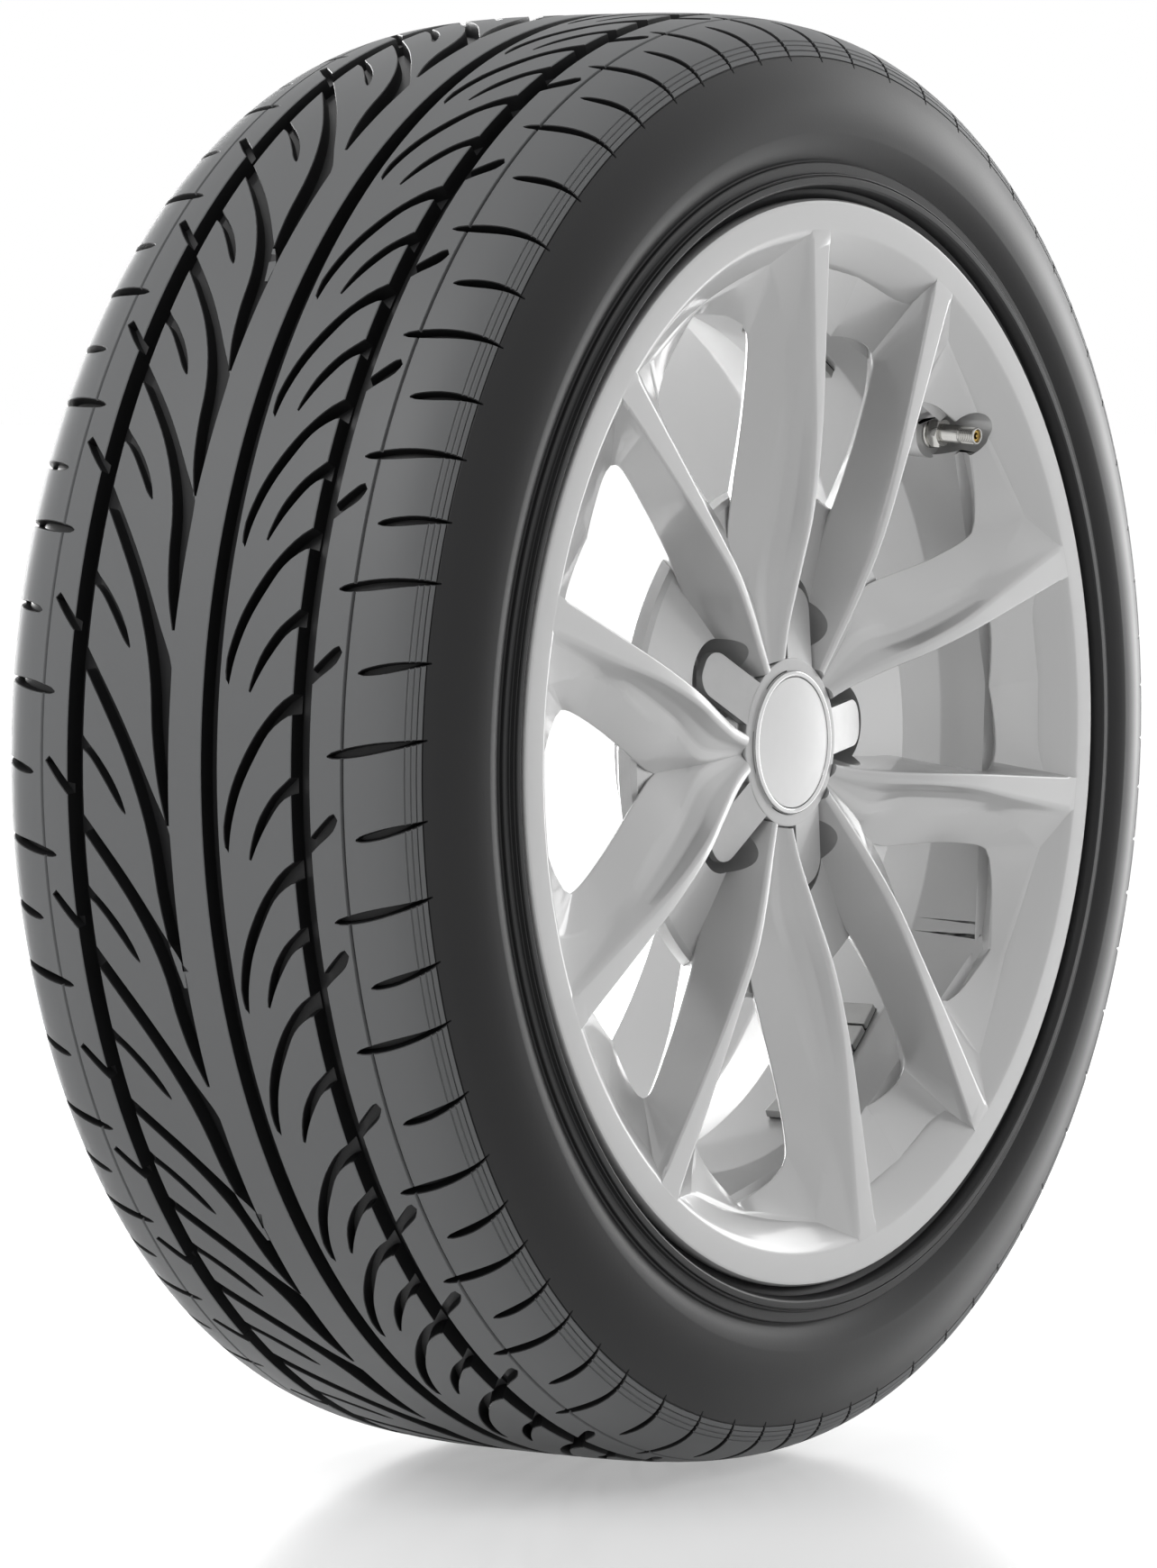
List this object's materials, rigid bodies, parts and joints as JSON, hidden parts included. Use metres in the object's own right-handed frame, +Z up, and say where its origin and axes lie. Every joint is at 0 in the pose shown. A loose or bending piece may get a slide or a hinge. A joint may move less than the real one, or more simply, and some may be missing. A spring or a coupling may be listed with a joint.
{
  "type": "car wheel with tyre",
  "caption": "Car wheel with a directional road tyre on a silver cast rim with V-shaped pairs of spokes, a star hub cover, metal valve and stick-on balance weights.",
  "frame": {"origin": "centre of the wheel on its spin axis, midway between the tyre's two sidewalls", "axes": "+Y along the spin axis towards the car, outer face towards -Y, +Z up as the wheel stands, +X to the rear of the face"},
  "size_m": [0.6343, 0.2274, 0.6339],
  "materials": {
    "tyre_rubber": "matt black moulded rubber",
    "silver_lacquer": "silver metallic lacquer on cast aluminium",
    "cover_lacquer": "silver lacquer on plastic",
    "bright_plating": "bright plating",
    "disc_lacquer": "glossy grey lacquer",
    "foam_tape": "grey foam tape",
    "spring_steel": "bare spring steel",
    "nickel_plating": "nickel plating, lightly worn",
    "seal_rubber": "black rubber",
    "valve_brass": "turned brass",
    "gasket_plastic": "white sealing plastic",
    "weight_zinc": "grey coated zinc"
  },
  "bodies": {
    "wheel": {"tyre": "tyre_rubber", "alloy_wheel": "silver_lacquer", "valve_stem": "nickel_plating", "valve_seal": "seal_rubber", "valve_washer": "nickel_plating", "valve_nut": "nickel_plating", "valve_core_plug": "valve_brass", "valve_core_gasket": "gasket_plastic", "valve_core_barrel": "valve_brass", "valve_core_spring": "spring_steel", "balance_weights_front": "weight_zinc", "balance_weights_rear": "weight_zinc", "weight_tape_front": "foam_tape", "weight_tape_rear": "foam_tape"},
    "cover": {"hub_cover": "cover_lacquer", "cover_trim_ring": "bright_plating", "cover_disc": "disc_lacquer", "cover_disc_pad": "foam_tape", "cover_clip_ring": "spring_steel"},
    "valve_pin": {"valve_core_pin": "valve_brass", "valve_core_cup": "valve_brass"}
  },
  "joints": [
    {"name": "cover_pull", "type": "slide", "parent": "wheel", "child": "cover", "axis": [0, -1, 0], "range_m": [0, 0.04]},
    {"name": "valve_press", "type": "slide", "parent": "wheel", "child": "valve_pin", "axis": [0.0785, 0.9945, 0.069], "range_m": [0, 0.0012], "stiffness_N_per_m": 300, "springref_m": -0.002, "deforming": ["valve_core_spring"]}
  ]
}
